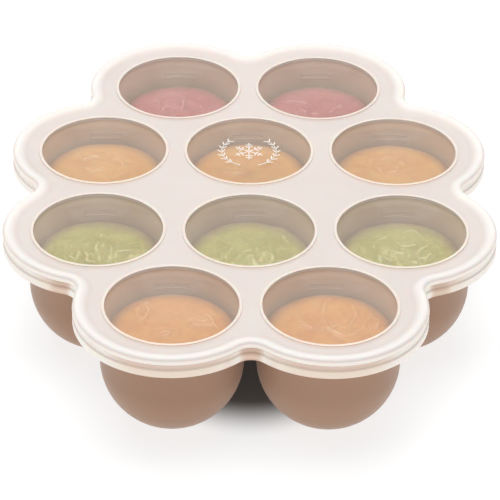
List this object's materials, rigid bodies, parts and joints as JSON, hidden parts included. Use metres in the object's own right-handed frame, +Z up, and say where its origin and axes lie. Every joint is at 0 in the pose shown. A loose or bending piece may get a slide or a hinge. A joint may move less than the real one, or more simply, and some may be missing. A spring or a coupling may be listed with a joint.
{
  "type": "baby food freezer tray",
  "caption": "Scalloped silicone freezer tray with round-bottomed cups of puree under a translucent lift-off lid with clear windows.",
  "frame": {"origin": "on the ground under the middle of the tray", "axes": "+Z up, +Y to the back row of cups, +X to the right as seen from the front row"},
  "size_m": [0.1956, 0.2396, 0.0505],
  "materials": {
    "silicone": "matt, slightly silky taupe silicone",
    "lid_plastic": "milky translucent plastic with ten clear, polished windows",
    "puree_pink": "moist berry puree",
    "puree_orange": "moist pumpkin puree",
    "puree_green": "moist pea puree",
    "puree_peach": "moist carrot puree"
  },
  "bodies": {
    "tray": {"deck_back_left": "silicone", "deck_back_right": "silicone", "deck_midback_left": "silicone", "deck_midback_centre": "silicone", "deck_midback_right": "silicone", "deck_midfront_left": "silicone", "deck_midfront_centre": "silicone", "deck_midfront_right": "silicone", "deck_front_left": "silicone", "deck_front_right": "silicone", "cup_back_left": "silicone", "cup_back_right": "silicone", "cup_midback_left": "silicone", "cup_midback_centre": "silicone", "cup_midback_right": "silicone", "cup_midfront_left": "silicone", "cup_midfront_centre": "silicone", "cup_midfront_right": "silicone", "cup_front_left": "silicone", "cup_front_right": "silicone", "puree_back_left": "puree_pink", "puree_back_right": "puree_pink", "puree_midback_left": "puree_orange", "puree_midback_centre": "puree_orange", "puree_midback_right": "puree_orange", "puree_midfront_left": "puree_green", "puree_midfront_centre": "puree_green", "puree_midfront_right": "puree_green", "puree_front_left": "puree_peach", "puree_front_right": "puree_peach"},
    "lid": {"lid_plate": "lid_plastic", "lid_skirt": "lid_plastic"}
  },
  "joints": [
    {"name": "lid_lift", "type": "slide", "parent": "tray", "child": "lid", "axis": [0, 0, 1], "range_m": [0, 0.08]}
  ]
}
